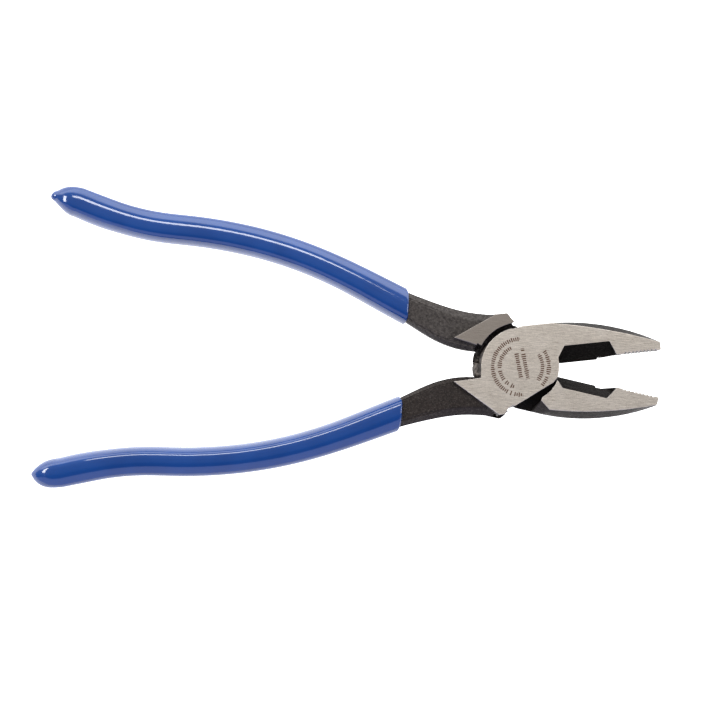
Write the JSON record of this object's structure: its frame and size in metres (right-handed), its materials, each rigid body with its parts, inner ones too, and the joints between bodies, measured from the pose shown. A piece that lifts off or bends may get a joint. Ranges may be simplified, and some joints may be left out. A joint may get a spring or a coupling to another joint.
{
  "type": "lineman pliers",
  "caption": "Side-cutting lap-joint pliers with square gripping nose, bevelled knives beside the joint, long bowed handles and dipped plastic grips.",
  "frame": {"origin": "on the rivet's axis, in the plane of the head's underside", "axes": "+X along the bisector of the open jaws, towards the nose; +Z along the rivet, out of the upper face; +Y towards the jaw of the front half"},
  "size_m": [0.2315, 0.112, 0.0159],
  "materials": {
    "forged_steel": "black oxide forging with brushed ground faces",
    "rivet_steel": "brushed, ground flush",
    "dipped_grip": "glossy dipped vinyl"
  },
  "bodies": {
    "front_lever": {"front_half": "forged_steel", "pivot_rivet": "rivet_steel", "front_half_grip": "dipped_grip"},
    "rear_lever": {"rear_half": "forged_steel", "rear_half_grip": "dipped_grip"}
  },
  "joints": [
    {"name": "pivot", "type": "hinge", "parent": "front_lever", "child": "rear_lever", "pos_m": [0, 0, 0.00795], "axis": [0, 0, -1], "range_deg": [-19.2, 25]}
  ]
}
